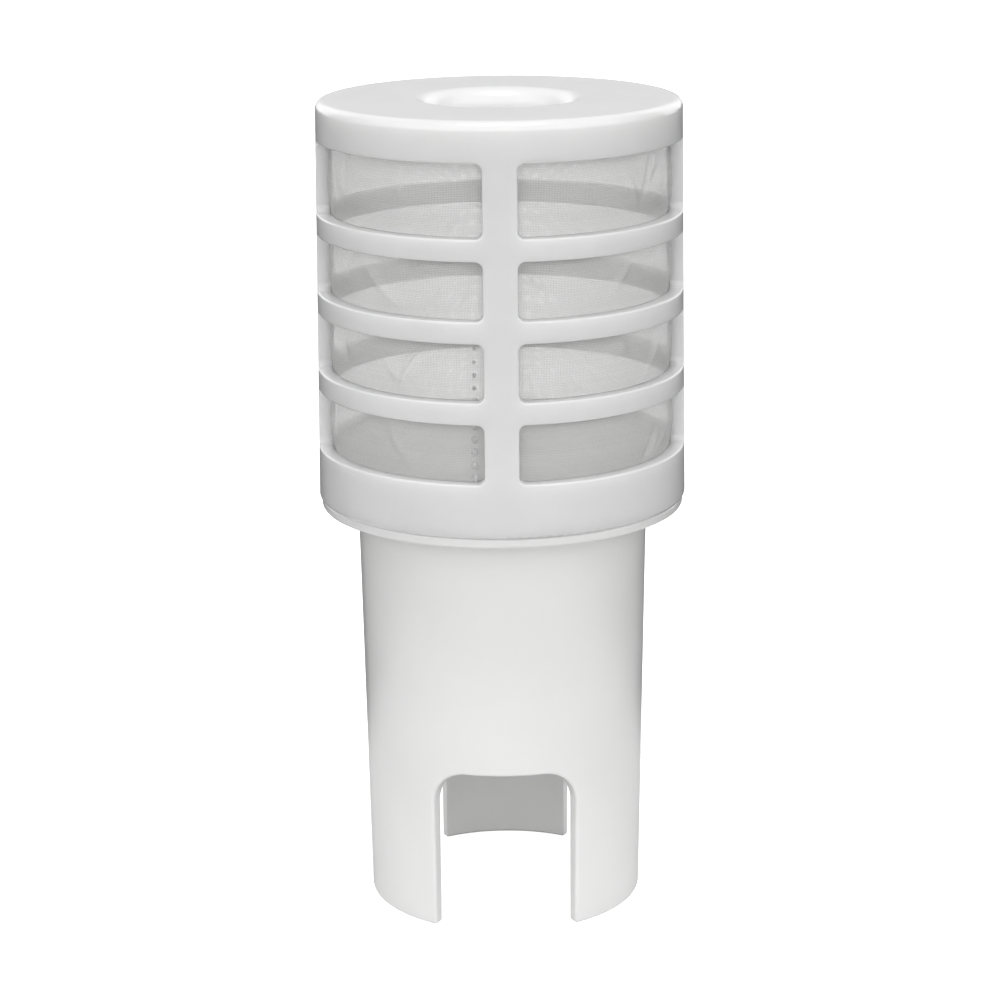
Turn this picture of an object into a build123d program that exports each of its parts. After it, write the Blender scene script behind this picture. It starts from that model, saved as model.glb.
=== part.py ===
from build123d import *
import os
from math import cos, hypot, radians, sin

# Foot valve with a push-on strainer, in millimetres. It stands on the three legs of its pipe socket:
# Z = 0 is the feet, +Z runs up the axis to the closed end of the strainer, -Y faces the first notch.
# In use it hangs the other way up. Water enters through the mesh, flows down through the port in the
# deck, pushes the poppet off its seat and leaves through the pipe in the socket.

os.makedirs("parts", exist_ok=True)

# ---- Clearances ----
slide_gap = 0.05          # radial, round pieces that move in each other
push_gap = 0.10           # radial, basket on its spigot
fixed_gap = 0.02          # pieces that are pressed or moulded together
touch_gap = 0.05          # between faces that meet on different bodies
drop_in_gap = 0.05        # radial, pieces that are dropped into the cartridge bore

# ---- Pipe socket and legs ----
pipe_r = 16.0             # outer radius of the 32 mm pipe that the socket takes
foot_wall = 1.3           # tube wall at the feet
tube_flare = 0.85         # how much the tube's outer radius grows from the feet to the flange
notch_count = 3
notch_angle = 61.0        # degrees, each notch
notch_height = 20.8
notch_corner_r = 4.4
leg_corner_r = 0.35
mouth_chamfer = 0.3
hinge_depth = 0.25        # groove round the inside above the legs, where they flex
hinge_h = 1.5
hinge_rise = 0.7          # top of the groove above the notches' tops

# ---- Flange, spigot and deck ----
flange_z = 51.6           # underside of the base flange
flange_t = 1.2
flange_step = 0.3         # flange radius is this much under the basket's
spigot_h = 5.6
spigot_wall = 3.2
deck_rise = 1.2           # top of the deck above the flange's top
deck_t = 2.6

# ---- Strainer basket ----
basket_foot_r = 23.0
basket_taper = 0.6        # how much the basket's outer radius shrinks from its foot to its closed end
basket_wall = 1.7
basket_h = 49.6           # from the flange's top to the closed end
band_h = 6.65             # bottom band
ring_h = 2.65
window_pitch = 9.7
low_window_h = 7.25
top_window_h = 8.8
window_rows = 4
rib_count = 4
rib_w = 4.1
window_corner_r = 0.9
window_edge_r = 0.22
end_wall = 1.8
end_edge_r = 1.1
basket_edge_r = 0.4
recess_r = 8.35
recess_lip_r = 2.05
recess_depth = 3.6
recess_wall = 1.5

# ---- Mesh ----
mesh_t = 0.3
mesh_tuck = 0.7           # how far the mesh runs on behind the last band and ring
mesh_gap = 0.1            # along the axis, mesh to the band's bore

# ---- Valve cartridge ----
bore_step = 1.45          # the pipe stops on this shoulder
groove_depth = 0.9        # retaining ring groove in the cartridge bore
shoulder_land = 1.0
clip_t = 1.1
clip_width = 1.7
clip_gap_angle = 52.0
clip_lug_r = 1.5
clip_eye_r = 0.6
gasket_t = 2.0
gasket_overhang = 0.8     # how far the gasket reaches inside the shoulder
gasket_undercut = 0.3     # radial, the gasket snaps into a groove this deep in the socket's wall
arm_t = 2.0
arm_w = 2.4
arm_count = 3
spider_ring_h = 3.5
spider_ring_wall = 1.9
pillar_t = 1.5
pillar_angle = 24.0
hub_wall = 1.0
hub_drop = 3.0            # how far the hub reaches below the arms
bush_wall = 1.05
bush_flange_t = 0.8
bush_flange_step = 0.8
plate_t = 0.5
plate_margin = 0.5

# ---- Seat ----
insert_flange_t = 2.2
insert_neck_wall = 2.4
seat_ring_w = 1.8
seat_ring_h = 2.0
seat_nose_h = 0.8
seat_o_ring_d = 1.3

# ---- Poppet and spring ----
lift = 5.0                # opening travel
stem_r = 2.5
head_t = 2.6
boss_h = 1.0
boss_r = 4.2
flow_gap = 1.2            # radial, poppet head to the pillars
seal_t = 1.95
seal_hole_r = 5.0
seal_step = 0.2           # radial, head's edge to the seal's
seal_seat_overlap = 0.4   # how far the seal and head reach outside the seat ring
retainer_r = 7.4
retainer_t = 1.0
retainer_lip_h = 0.45
screw_r = 1.45
screw_hole_r = 1.5
screw_head_r = 2.9
screw_head_h = 1.9
screw_depth = 6.4
screw_slot_w = 0.7
screw_slot_depth = 0.9
screw_slot_length = 3.77
lock_washer_t = 0.8
lock_washer_gap_angle = 14.0
wire_r = 0.35
spring_turns = 2.5
spring_length = 7.6       # as fitted, valve shut
spring_r = 6.0            # to the middle of the wire

# ---- Basket seal ----
basket_o_ring_groove_depth = 1.5
basket_o_ring_groove_w = 2.2
basket_o_ring_rise = 1.6  # groove's lower edge above the flange's top

# ---- Rounded edges and small reliefs ----
foot_edge_r = 0.3
flange_root_r = 0.5
flange_edge_r = 0.35
spigot_edge_r = 0.6
spigot_inner_edge_r = 0.4
deck_corner_r = 1.0
recess_floor_r = 0.8
cup_edge_r = 1.2
end_corner_r = 0.6
port_edge_r = 1.0
insert_edge_r = 0.3
seat_nose_r = 0.4
seat_nose_taper = 0.3     # how much narrower the seat's nose is than its ring
rubber_edge_r = 0.2
bush_edge_r = 0.25
poppet_edge_r = 0.9
poppet_rim_r = 0.2
stem_edge_r = 0.5
retainer_taper = 1.6
retainer_edge_r = 0.8
screw_head_edge_r = 0.9
screw_tip_r = 0.4
screw_end_room = 2.6      # how far the poppet's hole runs on past the screw
washer_play = 0.15        # radial, lock washer round the screw
retainer_play = 0.1       # radial, retainer round the screw's hole
lock_washer_step = 0.1    # radial, screw head's edge to the lock washer's
seal_edge_r = 0.15
pillar_step = 0.1         # radial, spider's ring to the pillars' outsides
pilot_drop = 0.15         # the poppet's pilot ends this far under the seal's face
pillar_overlap = 0.5      # how far the pillars run down into the spider's ring
o_ring_room = 0.3         # how much wider an O-ring's groove is than its section

# ---- Radii worked out from the pipe outwards and inwards ----
socket_r = pipe_r + slide_gap
foot_r = socket_r + foot_wall
tube_top_r = foot_r + tube_flare
gasket_seat_r = socket_r + gasket_undercut
cartridge_r = socket_r - bore_step
insert_r = cartridge_r - drop_in_gap
pillar_inner_r = insert_r - pillar_t
head_r = pillar_inner_r - flow_gap
seat_ring_r = head_r - seal_seat_overlap
port_r = seat_ring_r - seat_ring_w
neck_r = port_r + insert_neck_wall
bush_r = stem_r + slide_gap + bush_wall
hub_r = bush_r + fixed_gap + hub_wall

# ---- Radii of the spigot and basket ----
basket_top_r = basket_foot_r - basket_taper
flange_r = basket_foot_r - flange_step
spigot_r = basket_foot_r - basket_wall - push_gap
spigot_inner_r = spigot_r - spigot_wall
band_bore_r = spigot_r + push_gap

# ---- Heights from the flange down to the pipe stop ----
flange_top = flange_z + flange_t
spigot_top = flange_top + spigot_h
deck_top = flange_top + deck_rise
deck_under = deck_top - deck_t
insert_under = deck_under - insert_flange_t
seat_z = insert_under - seat_nose_h
seal_top = seat_z - touch_gap
seal_under = seal_top - seal_t
head_under = seal_under - head_t
boss_under = head_under - boss_h
plate_top = head_under - spring_length
arm_top = plate_top - plate_t
spider_under = arm_top - arm_t
stop_z = boss_under - lift - touch_gap
hub_top = stop_z - bush_flange_t
hub_under = spider_under - hub_drop
clip_under = spider_under - clip_t
shoulder_z = clip_under - shoulder_land
gasket_under = shoulder_z - gasket_t
stem_end = hub_under
hinge_top = notch_height + hinge_rise
hinge_low = hinge_top - hinge_h

# ---- Heights of the basket ----
end_z = flange_top + basket_h
end_under = end_z - end_wall
first_window_z = flange_top + band_h
band_bore_top = spigot_top + 0.4


def turned(outline, rounds=()):
    """Revolve a closed outline of (radius, height) points about Z, with the named corners rounded."""
    face = make_face(Polyline(*outline, close=True))
    for corner, radius in rounds:
        vertex = min(face.vertices(), key=lambda v: hypot(v.X - corner[0], v.Y - corner[1]))
        face = fillet(vertex, radius)
    return revolve(Plane.XZ * face, Axis.Z)


def washer(inner_r, outer_r, low, high, edge=0.0):
    """A plain ring from height low to high, with its four edges rounded if an edge radius is given."""
    corners = [(inner_r, low), (outer_r, low), (outer_r, high), (inner_r, high)]
    rounds = [(corner, edge) for corner in corners] if edge else ()
    return turned(corners, rounds)


def around(count, make, start=0.0):
    """The shapes that make() gives, turned to count equal places about Z, as a list."""
    return [Rot(0, 0, start + 360 * index / count) * make() for index in range(count)]


def basket_radius(z):
    """Outer radius of the tapered basket at height z."""
    return basket_foot_r + (basket_top_r - basket_foot_r) * (z - flange_top) / basket_h


def o_ring(centre_r, centre_z, section_r):
    """A round-section ring about Z."""
    return Pos(0, 0, centre_z) * Torus(centre_r, section_r)


# ---- Body ----

def notch_cutter():
    """The wedge that cuts one notch, facing -Y, with radial sides and rounded upper corners."""
    inner_r = 0.62 * foot_r
    outer_r = tube_top_r + 5
    half = radians(notch_angle / 2)
    near = inner_r * sin(half), -inner_r * cos(half)
    far = outer_r * sin(half), -outer_r * cos(half)
    face = make_face(Polyline(near, far, (-far[0], far[1]), (-near[0], near[1]), close=True))
    wedge = Pos(0, 0, -1) * extrude(face, notch_height + 1)
    side_length = outer_r - inner_r
    upper = [
        edge for edge in wedge.edges()
        if edge.center().Z > notch_height - 0.01 and abs(edge.length - side_length) < 0.01
    ]
    return fillet(upper, notch_corner_r)


def make_valve_body():
    """Legs, pipe socket, base flange, spigot and deck in one moulding."""
    root_r = min(flange_root_r, 0.4 * (flange_r - tube_top_r))
    hinge_r = socket_r + hinge_depth
    groove_r = cartridge_r + groove_depth
    deck_hole_r = neck_r + drop_in_gap
    seal_low = flange_top + basket_o_ring_rise
    seal_high = seal_low + basket_o_ring_groove_w
    seal_floor_r = spigot_r - basket_o_ring_groove_depth
    groove_top = spider_under + fixed_gap
    groove_low = clip_under - fixed_gap
    outline = [
        (socket_r + mouth_chamfer, 0),
        (foot_r, 0),
        (tube_top_r, flange_z),
        (flange_r, flange_z),
        (flange_r, flange_top),
        (spigot_r, flange_top),
        (spigot_r, seal_low),
        (seal_floor_r, seal_low),
        (seal_floor_r, seal_high),
        (spigot_r, seal_high),
        (spigot_r, spigot_top),
        (spigot_inner_r, spigot_top),
        (spigot_inner_r, deck_top),
        (deck_hole_r, deck_top),
        (deck_hole_r, deck_under),
        (cartridge_r, deck_under),
        (cartridge_r, groove_top),
        (groove_r, groove_top),
        (groove_r, groove_low),
        (cartridge_r, groove_low),
        (cartridge_r, shoulder_z),
        (gasket_seat_r, shoulder_z),
        (gasket_seat_r, gasket_under),
        (socket_r, gasket_under),
        (socket_r, hinge_top),
        (hinge_r, hinge_top),
        (hinge_r, hinge_low),
        (socket_r, hinge_low),
        (socket_r, mouth_chamfer),
    ]
    rounds = [
        ((foot_r, 0), foot_edge_r),
        ((tube_top_r, flange_z), root_r),
        ((flange_r, flange_z), flange_edge_r),
        ((flange_r, flange_top), flange_edge_r),
        ((spigot_r, spigot_top), spigot_edge_r),
        ((spigot_inner_r, spigot_top), spigot_inner_edge_r),
        ((spigot_inner_r, deck_top), deck_corner_r),
    ]
    body = turned(outline, rounds)
    for cutter in around(notch_count, notch_cutter):
        body = body - cutter
    foot_corners = [
        edge for edge in body.edges()
        if edge.geom_type == GeomType.LINE and edge.center().Z < 0.001
    ]
    return fillet(foot_corners, leg_corner_r)


def make_basket_o_ring():
    """O-ring in the spigot's groove, at its squeezed size."""
    floor_r = spigot_r - basket_o_ring_groove_depth
    section_r = (band_bore_r - touch_gap - floor_r) / 2
    centre_z = flange_top + basket_o_ring_rise + basket_o_ring_groove_w / 2
    return o_ring(floor_r + section_r, centre_z, section_r)


def make_pipe_gasket():
    """Flat rubber ring in its groove, which the pipe's end presses against the shoulder."""
    inner_r = cartridge_r - gasket_overhang
    outer_r = gasket_seat_r - fixed_gap
    return washer(inner_r, outer_r, gasket_under, shoulder_z, rubber_edge_r)


# ---- Basket ----

def window_cutter(low, high):
    """Cutter for one window, between the ribs at 0 and 90 degrees, with rounded corners."""
    size = basket_foot_r + 5
    height = high - low
    block = Pos(rib_w / 2, rib_w / 2, low) * Box(size, size, height, align=(Align.MIN,) * 3)
    corners = [
        edge for edge in block.edges()
        if abs(edge.length - size) < 0.01
        and (abs(edge.center().X - rib_w / 2) < 0.01 or abs(edge.center().Y - rib_w / 2) < 0.01)
    ]
    block = fillet(corners, window_corner_r)
    core_r = basket_top_r - basket_wall - 2
    core = Pos(0, 0, low - 1) * Cylinder(core_r, height + 2, align=(Align.CENTER, Align.CENTER, Align.MIN))
    return block - core


def window_heights():
    """Lower and upper edge of each row of windows, from the bottom row up."""
    low = first_window_z
    high = low + low_window_h
    rows = [(low, high)]
    for row in range(1, window_rows):
        low = first_window_z + low_window_h + ring_h + (row - 1) * window_pitch
        is_top = row == window_rows - 1
        high = low + (top_window_h if is_top else window_pitch - ring_h)
        rows.append((low, high))
    return rows


def on_outer_skin(edge):
    """True for an edge that runs on the basket's tapered outside and bounds a window."""
    rows = window_heights()
    for place in (0, 0.5, 1):
        point = edge @ place
        if abs(hypot(point.X, point.Y) - basket_radius(point.Z)) > 0.01:
            return False
        if not rows[0][0] - 0.01 < point.Z < rows[-1][1] + 0.01:
            return False
    return True


def make_strainer_basket():
    """Closed cage: bottom band, ribs, rings and an end with a dished recess."""
    recess_floor = end_z - recess_depth
    cup_under = recess_floor - recess_wall
    cup_r = recess_r + recess_wall
    inner_top_r = basket_radius(end_under) - basket_wall
    inner_low_r = basket_radius(band_bore_top) - basket_wall
    outline = [
        (band_bore_r, flange_top),
        (basket_foot_r, flange_top),
        (basket_top_r, end_z),
        (recess_r, end_z),
        (recess_r, recess_floor),
        (0, recess_floor),
        (0, cup_under),
        (cup_r, cup_under),
        (cup_r, end_under),
        (inner_top_r, end_under),
        (inner_low_r, band_bore_top),
        (band_bore_r, band_bore_top),
    ]
    rounds = [
        ((basket_foot_r, flange_top), basket_edge_r),
        ((basket_top_r, end_z), end_edge_r),
        ((recess_r, end_z), recess_lip_r),
        ((recess_r, recess_floor), recess_floor_r),
        ((cup_r, cup_under), cup_edge_r),
        ((cup_r, end_under), end_corner_r),
        ((inner_top_r, end_under), end_corner_r),
    ]
    basket = turned(outline, rounds)
    for low, high in window_heights():
        for cutter in around(rib_count, lambda: window_cutter(low, high)):
            basket = basket - cutter
    return fillet([edge for edge in basket.edges() if on_outer_skin(edge)], window_edge_r)


def make_strainer_mesh():
    """Plain tapered sleeve of mesh against the inside of the basket's wall."""
    rows = window_heights()
    low = band_bore_top + mesh_gap
    high = rows[-1][1] + mesh_tuck
    low_r = basket_radius(low) - basket_wall - fixed_gap
    high_r = basket_radius(high) - basket_wall - fixed_gap
    return turned([(low_r - mesh_t, low), (low_r, low), (high_r, high), (high_r - mesh_t, high)])


# ---- Seat ----

def make_seat_insert():
    """Ring with the port: flange under the deck, neck up through it, pocket for the seat ring."""
    pocket_top = seat_z + seat_ring_h
    groove_low = deck_under - seat_o_ring_d
    groove_inner_r = neck_r + o_ring_room
    groove_outer_r = groove_inner_r + seat_o_ring_d + o_ring_room
    outline = [
        (seat_ring_r + fixed_gap, insert_under),
        (insert_r, insert_under),
        (insert_r, deck_under),
        (groove_outer_r, deck_under),
        (groove_outer_r, groove_low),
        (groove_inner_r, groove_low),
        (groove_inner_r, deck_under),
        (neck_r, deck_under),
        (neck_r, deck_top),
        (port_r, deck_top),
        (port_r, pocket_top),
        (seat_ring_r + fixed_gap, pocket_top),
    ]
    rounds = [((port_r, deck_top), port_edge_r), ((insert_r, insert_under), insert_edge_r)]
    return turned(outline, rounds)


def make_seat_ring():
    """Stainless seat with a rounded nose that the rubber closes on."""
    nose_w = seat_ring_w - seat_nose_taper
    outline = [
        (port_r, seat_z),
        (port_r + nose_w, seat_z),
        (seat_ring_r, seat_z + seat_nose_h),
        (seat_ring_r, seat_z + seat_ring_h),
        (port_r, seat_z + seat_ring_h),
    ]
    return turned(outline, [((port_r, seat_z), seat_nose_r), ((port_r + nose_w, seat_z), seat_nose_r)])


def make_seat_o_ring():
    """O-ring between the insert and the deck, at its squeezed size."""
    section_r = seat_o_ring_d / 2 - 0.01
    centre_r = neck_r + o_ring_room + seat_o_ring_d / 2 + o_ring_room / 2
    return o_ring(centre_r, deck_under - seat_o_ring_d / 2, section_r)


# ---- Guide ----

def make_guide_spider():
    """Ring, arms and hub that guide the stem, with pillars that hold the seat insert up."""
    ring_r = cartridge_r - drop_in_gap
    ring_inner_r = ring_r - spider_ring_wall
    ring = washer(ring_inner_r, ring_r, spider_under, spider_under + spider_ring_h)
    hub = washer(bush_r + fixed_gap, hub_r, hub_under, hub_top)
    arm_start = hub_r - hub_wall / 2
    arm_length = ring_inner_r + spider_ring_wall / 2 - arm_start
    arm = Pos(arm_start, 0, spider_under) * Box(
        arm_length, arm_w, arm_t, align=(Align.MIN, Align.CENTER, Align.MIN)
    )
    pillar_low = spider_under + spider_ring_h - pillar_overlap
    pillar_outer_r = ring_r - pillar_step
    pillar_face = make_face(Polyline(
        (pillar_inner_r, pillar_low),
        (pillar_outer_r, pillar_low),
        (pillar_outer_r, insert_under),
        (pillar_inner_r, insert_under),
        close=True,
    ))
    pillar = Rot(0, 0, -pillar_angle / 2) * revolve(Plane.XZ * pillar_face, Axis.Z, pillar_angle)
    spider = ring + hub
    for piece in around(arm_count, lambda: arm, 30):
        spider = spider + piece
    for piece in around(arm_count, lambda: pillar, 90):
        spider = spider + piece
    return spider


def make_stem_bush():
    """Flanged bush in the hub. Its flange is the poppet's stop."""
    bore_r = stem_r + slide_gap
    outline = [
        (bore_r, hub_under),
        (bush_r, hub_under),
        (bush_r, hub_top),
        (bush_r + bush_flange_step, hub_top),
        (bush_r + bush_flange_step, stop_z),
        (bore_r, stop_z),
    ]
    return turned(outline, [((bush_r + bush_flange_step, stop_z), bush_edge_r)])


def make_spring_washer_plate():
    """Flat washer that spreads the spring's load over the arms."""
    inner_r = spring_r - wire_r - plate_margin
    outer_r = spring_r + wire_r + plate_margin
    return washer(inner_r, outer_r, arm_top, plate_top)


def make_retaining_ring():
    """Internal circlip with two eyed lugs, its gap towards -Y."""
    outer_r = cartridge_r + groove_depth - drop_in_gap
    inner_r = outer_r - clip_width
    section = make_face(Polyline(
        (inner_r, clip_under),
        (outer_r, clip_under),
        (outer_r, spider_under),
        (inner_r, spider_under),
        close=True,
    ))
    start = -90 + clip_gap_angle / 2
    ring = Rot(0, 0, start) * revolve(Plane.XZ * section, Axis.Z, 360 - clip_gap_angle)
    lug_centre_r = cartridge_r - 0.3 - clip_lug_r
    for side in (-1, 1):
        angle = -90 + side * (clip_gap_angle / 2 + 4)
        place = Rot(0, 0, angle) * Pos(lug_centre_r, 0, clip_under + clip_t / 2)
        ring = ring + place * Cylinder(clip_lug_r, clip_t)
        ring = ring - place * Cylinder(clip_eye_r, 2 * clip_t)
    return ring


# ---- Moving pieces ----

def make_poppet():
    """Head, boss and stem in one piece, with a pilot for the seal and a hole for the screw."""
    pilot_r = seal_hole_r - fixed_gap
    pilot_top = seal_top - pilot_drop
    hole_end = seal_top + retainer_t + lock_washer_t - screw_depth - screw_end_room
    outline = [
        (0, stem_end),
        (stem_r, stem_end),
        (stem_r, boss_under),
        (boss_r, boss_under),
        (boss_r, head_under),
        (head_r, head_under),
        (head_r, seal_under),
        (pilot_r, seal_under),
        (pilot_r, pilot_top),
        (screw_hole_r, pilot_top),
        (screw_hole_r, hole_end),
        (0, hole_end),
    ]
    rounds = [
        ((stem_r, stem_end), stem_edge_r),
        ((head_r, head_under), poppet_edge_r),
        ((head_r, seal_under), poppet_rim_r),
        ((boss_r, head_under), stem_edge_r),
    ]
    return turned(outline, rounds)


def make_poppet_seal():
    """Flat rubber washer on the poppet's head."""
    return washer(seal_hole_r, head_r - seal_step, seal_under, seal_top, seal_edge_r)


def make_seal_retainer():
    """Dished stainless washer that clamps the seal round its hole."""
    outline = [
        (screw_hole_r + retainer_play, seal_top),
        (retainer_r, seal_top),
        (retainer_r, seal_top + retainer_lip_h),
        (retainer_r - retainer_taper, seal_top + retainer_t),
        (screw_hole_r + retainer_play, seal_top + retainer_t),
    ]
    return turned(outline, [((retainer_r - retainer_taper, seal_top + retainer_t), retainer_edge_r)])


def make_lock_washer():
    """Split spring washer under the screw's head."""
    low = seal_top + retainer_t
    outer_r = screw_head_r - lock_washer_step
    section = make_face(Polyline(
        (screw_hole_r + washer_play, low),
        (outer_r, low),
        (outer_r, low + lock_washer_t),
        (screw_hole_r + washer_play, low + lock_washer_t),
        close=True,
    ))
    return revolve(Plane.XZ * section, Axis.Z, 360 - lock_washer_gap_angle)


def make_seal_screw():
    """Pan-head screw with a cross recess."""
    head_low = seal_top + retainer_t + lock_washer_t
    head_high = head_low + screw_head_h
    outline = [
        (0, head_low - screw_depth),
        (screw_r, head_low - screw_depth),
        (screw_r, head_low),
        (screw_head_r, head_low),
        (screw_head_r, head_high),
        (0, head_high),
    ]
    head_edge = ((screw_head_r, head_high), screw_head_edge_r)
    tip_edge = ((screw_r, head_low - screw_depth), screw_tip_r)
    screw = turned(outline, [head_edge, tip_edge])
    slot_z = head_high - screw_slot_depth / 2
    for turn in (0, 90):
        slot = Box(screw_slot_length, screw_slot_w, screw_slot_depth)
        screw = screw - Pos(0, 0, slot_z) * Rot(0, 0, turn) * slot
    return screw


def make_return_spring():
    """Wire spring from the washer plate to the poppet's head, round the boss."""
    low = plate_top + wire_r + touch_gap
    height = spring_length - 2 * (wire_r + touch_gap)
    path = Pos(0, 0, low) * Helix(height / spring_turns, height, spring_r)
    section = Plane(path @ 0, z_dir=path % 0) * Circle(wire_r)
    return sweep(section, path=path, is_frenet=True)


pieces = {
    "valve_body": make_valve_body,
    "basket_o_ring": make_basket_o_ring,
    "pipe_gasket": make_pipe_gasket,
    "strainer_basket": make_strainer_basket,
    "strainer_mesh": make_strainer_mesh,
    "seat_insert": make_seat_insert,
    "seat_ring": make_seat_ring,
    "seat_o_ring": make_seat_o_ring,
    "guide_spider": make_guide_spider,
    "stem_bush": make_stem_bush,
    "spring_washer_plate": make_spring_washer_plate,
    "retaining_ring": make_retaining_ring,
    "poppet": make_poppet,
    "poppet_seal": make_poppet_seal,
    "seal_retainer": make_seal_retainer,
    "lock_washer": make_lock_washer,
    "seal_screw": make_seal_screw,
    "return_spring": make_return_spring,
}

for name, make in pieces.items():
    export_step(make(), os.path.join("parts", name + ".step"))
    print("wrote", name)
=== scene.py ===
import random
from math import atan2, cos, exp, floor, pi, radians, sin

import bmesh
import bpy
from bpy.props import FloatProperty, FloatVectorProperty, IntProperty, PointerProperty
from mathutils import Matrix, Vector


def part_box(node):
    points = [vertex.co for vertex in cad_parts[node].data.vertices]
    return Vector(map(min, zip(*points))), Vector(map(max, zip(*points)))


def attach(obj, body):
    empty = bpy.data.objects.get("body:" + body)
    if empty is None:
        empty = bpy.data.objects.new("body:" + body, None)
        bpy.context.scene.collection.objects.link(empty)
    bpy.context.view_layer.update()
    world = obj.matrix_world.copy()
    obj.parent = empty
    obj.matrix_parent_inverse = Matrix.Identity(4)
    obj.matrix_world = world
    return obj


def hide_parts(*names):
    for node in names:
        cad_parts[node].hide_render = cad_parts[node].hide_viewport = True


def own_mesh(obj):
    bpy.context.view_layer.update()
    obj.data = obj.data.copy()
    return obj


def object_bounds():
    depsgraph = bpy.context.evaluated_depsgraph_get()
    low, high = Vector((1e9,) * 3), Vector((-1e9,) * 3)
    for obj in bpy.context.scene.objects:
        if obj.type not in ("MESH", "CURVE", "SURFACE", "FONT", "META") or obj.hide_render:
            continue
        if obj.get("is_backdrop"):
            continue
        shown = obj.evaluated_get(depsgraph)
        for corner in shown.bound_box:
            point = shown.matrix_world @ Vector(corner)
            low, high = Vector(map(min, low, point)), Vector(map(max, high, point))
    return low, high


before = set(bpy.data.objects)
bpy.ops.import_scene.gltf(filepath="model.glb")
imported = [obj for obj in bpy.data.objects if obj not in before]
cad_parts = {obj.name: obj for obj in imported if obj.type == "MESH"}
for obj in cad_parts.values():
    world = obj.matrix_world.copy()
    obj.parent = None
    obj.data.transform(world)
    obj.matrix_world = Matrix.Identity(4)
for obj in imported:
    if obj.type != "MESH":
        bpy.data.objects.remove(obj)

# Foot valve: finishes for the moulded, rubber and steel pieces, the woven sleeve in the strainer, its
# welded seam and the wound spring. Everything is in metres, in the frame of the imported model: Z = 0 is the
# feet, +Z runs up the axis to the strainer's closed end, -Y faces the first notch.

bl_info = {
    "name": "Foot valve",
    "version": (1, 0, 0),
    "blender": (4, 5, 0),
    "location": "3D View > Sidebar > Foot valve",
    "description": "Finishes a plastic foot valve and makes its woven sleeve, seam and spring",
    "category": "Object",
}

MM = 0.001
TURN = 2 * pi
NOISE_LOW = 0.3         # most of a noise texture lies between these two
NOISE_HIGH = 0.7

# ---- Places read from the frame ----
BASKET_LOW, BASKET_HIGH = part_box("strainer_basket")
MESH_LOW, MESH_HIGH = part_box("strainer_mesh")
SPRING_LOW, SPRING_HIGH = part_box("return_spring")

# ---- The basket's windows, as the moulded part has them ----
BASKET_FOOT_R = BASKET_HIGH.x
BASKET_TAPER = 0.6 * MM
BASKET_WALL = 1.7 * MM
BAND_HEIGHT = 6.65 * MM
RING_HEIGHT = 2.65 * MM
WINDOW_PITCH = 9.7 * MM
LOW_WINDOW_HEIGHT = 7.25 * MM
TOP_WINDOW_HEIGHT = 8.8 * MM
WINDOW_ROWS = 4
RIB_COUNT = 4
RIB_WIDTH = 4.1 * MM


class SleeveSettings(bpy.types.PropertyGroup):
    """Sizes of the woven sleeve."""

    thickness: FloatProperty(
        name="Thickness", description="Thickness of the woven cloth", default=0.1 * MM, unit="LENGTH")
    thread_pitch: FloatProperty(
        name="Thread pitch", description="Distance from thread to thread",
        default=0.2 * MM, unit="LENGTH")
    thread_width: FloatProperty(
        name="Thread width", description="Width of a thread as a share of the pitch",
        default=0.48, min=0.0, max=1.0)
    thread_cover: FloatProperty(
        name="Thread cover", description="How much a thread hides what lies behind it",
        default=0.55, min=0.0, max=1.0)
    hole_cover: FloatProperty(
        name="Hole cover", description="How much a hole between threads hides what lies behind it",
        default=0.12, min=0.0, max=1.0)
    wall_gap: FloatProperty(
        name="Wall gap", description="Distance from the cloth to the basket's wall",
        default=0.06 * MM, unit="LENGTH")
    bulge: FloatProperty(
        name="Bulge", description="How far the cloth swells out in the middle of a window",
        default=0.75 * MM, unit="LENGTH")
    crease_count: IntProperty(
        name="Creases", description="Creases in each window", default=7, min=0)
    crease_depth: FloatProperty(
        name="Crease depth", description="Greatest depth of a crease", default=0.42 * MM, unit="LENGTH")
    seed: IntProperty(
        name="Seed", description="Seed of the creases' places", default=11)


class SeamSettings(bpy.types.PropertyGroup):
    """Sizes of the sleeve's welded seam."""

    angle: FloatProperty(
        name="Angle", description="Turn from the front rib to the seam",
        default=radians(-8.6), subtype="ANGLE")
    bead_pitch: FloatProperty(
        name="Bead pitch", description="Distance from weld bead to weld bead",
        default=1.5 * MM, unit="LENGTH")
    bead_width: FloatProperty(
        name="Bead width", description="Width of the lowest weld bead", default=0.85 * MM, unit="LENGTH")
    bead_half_length: FloatProperty(
        name="Bead half length", description="Half the lowest bead's length as a share of the pitch",
        default=0.36, min=0.0, max=0.5)
    bead_depth: FloatProperty(
        name="Bead depth", description="Half the thickness of the lowest weld bead",
        default=0.2 * MM, unit="LENGTH")
    bead_loss: FloatProperty(
        name="Bead loss", description="Share of their size that the beads lose up to the highest one",
        default=0.6, min=0.0, max=1.0)
    bead_rise: FloatProperty(
        name="Bead rise", description="Place of the beads' middles, outwards from the basket's inside",
        default=0.05 * MM, unit="LENGTH")
    end_gap: FloatProperty(
        name="End gap", description="Distance from the cloth's lower edge to the seam",
        default=0.3 * MM, unit="LENGTH")
    bead_rows: IntProperty(
        name="Bead rows", description="Rows of windows that the weld beads run through, from the lowest",
        default=2, min=0)


class SpringSettings(bpy.types.PropertyGroup):
    """Sizes of the wound spring."""

    wire: FloatProperty(
        name="Wire", description="Diameter of the wire", default=0.7 * MM, unit="LENGTH")
    turns: FloatProperty(
        name="Turns", description="Turns from end to end", default=2.5, min=1.0)
    flat_turn: FloatProperty(
        name="Flat turn", description="Part of a turn that lies nearly flat at each end",
        default=0.4, min=0.0)
    flat_rise: FloatProperty(
        name="Flat rise", description="Share of the whole rise that each nearly flat end takes",
        default=0.12, min=0.0)


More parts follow.
